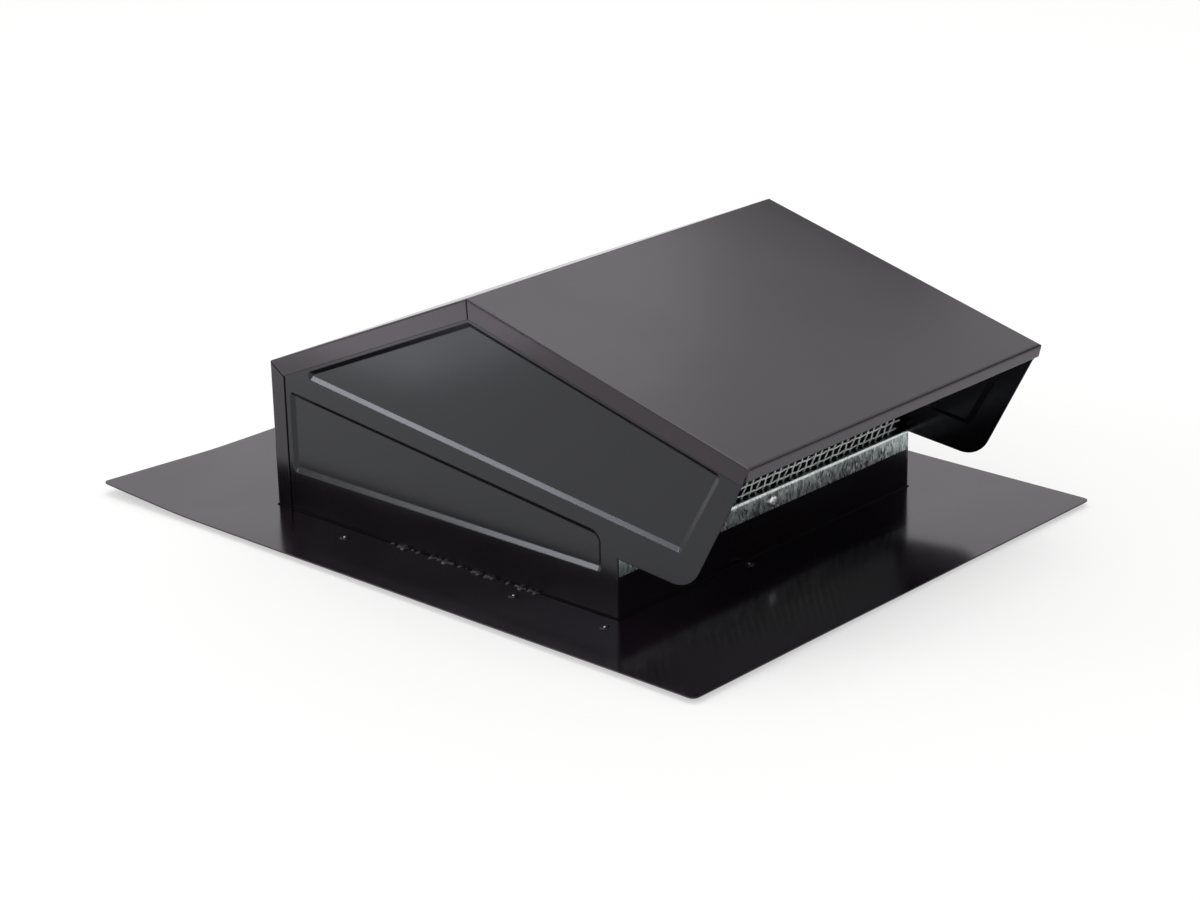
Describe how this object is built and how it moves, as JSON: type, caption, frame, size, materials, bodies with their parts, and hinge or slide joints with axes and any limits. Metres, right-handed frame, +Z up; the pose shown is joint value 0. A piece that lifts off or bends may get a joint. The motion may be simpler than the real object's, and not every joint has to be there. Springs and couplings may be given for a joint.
{
  "type": "roof vent cap",
  "caption": "Low black sheet-metal roof vent cap: sloped hood on a flat flashing plate, bird screen across the mouth and a hinged backdraft damper over the duct opening.",
  "frame": {"origin": "middle of the flashing plate's outline, on the roof surface that the foot flanges rest on", "axes": "+Z up from the roof surface, the mouth of the hood faces -Y, +X to the right seen from the mouth"},
  "size_m": [0.3682, 0.4826, 0.1653],
  "materials": {
    "hood_paint": "satin black baked enamel on steel sheet",
    "flashing_paint": "glossy black baked enamel on steel sheet",
    "galvanised": "bare galvanised steel with a fine spangle",
    "steel_wire": "plain drawn steel",
    "zinc_screw": "bright zinc plate",
    "foam": "closed-cell foam strip",
    "sealant": "black sealant bead"
  },
  "bodies": {
    "cap": {"flashing_plate": "flashing_paint", "hood_cover": "hood_paint", "side_panel_left": "hood_paint", "side_panel_right": "hood_paint", "front_wall": "hood_paint", "base_sealant": "sealant", "damper_frame": "galvanised", "flap_gasket": "foam", "hinge_rod": "steel_wire", "rod_retainers": "steel_wire", "bird_screen": "galvanised", "screen_angle": "galvanised", "frame_screws": "zinc_screw", "foot_rivets": "flashing_paint"},
    "damper": {"damper_flap": "galvanised"}
  },
  "joints": [
    {"name": "damper_hinge", "type": "hinge", "parent": "cap", "child": "damper", "pos_m": [0, 0.1092, 0.04155], "axis": [-1, 0, 0], "range_deg": [0, 25]}
  ]
}
